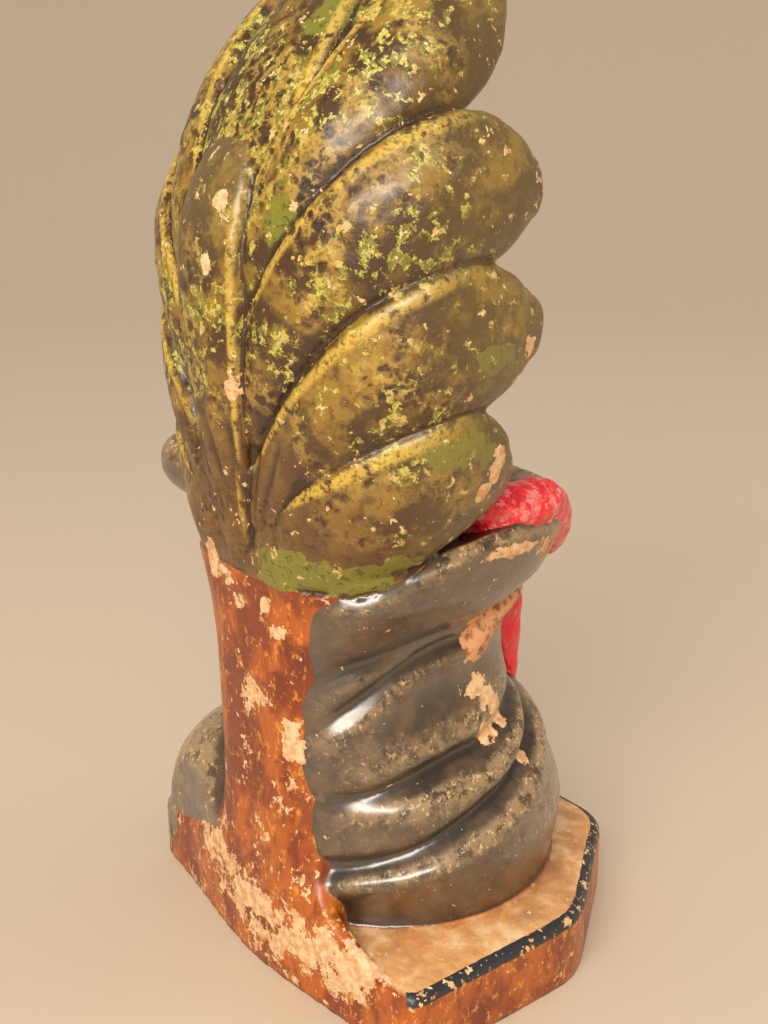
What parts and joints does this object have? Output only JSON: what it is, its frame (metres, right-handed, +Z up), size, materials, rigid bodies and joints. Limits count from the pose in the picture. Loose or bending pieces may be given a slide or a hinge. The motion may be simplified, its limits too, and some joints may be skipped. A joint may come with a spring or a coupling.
{
  "type": "mukhalinga sculpture",
  "caption": "Painted clay mukhalinga: a faced lingam under a fanned serpent hood, on a round rim over a coiled body, with a back pillar and a plinth with cut front corners.",
  "frame": {"origin": "on the flat underside of the plinth, on the vertical axis of the coiled body", "axes": "+Z up, -Y to the front, the way the face looks, +X towards the side with the spout of the rim"},
  "size_m": [0.2124, 0.185, 0.4244],
  "materials": {
    "painted_clay": "varnished paint over terracotta, worn and chipped"
  },
  "bodies": {
    "root": {"mukhalinga": "painted_clay"}
  },
  "joints": []
}
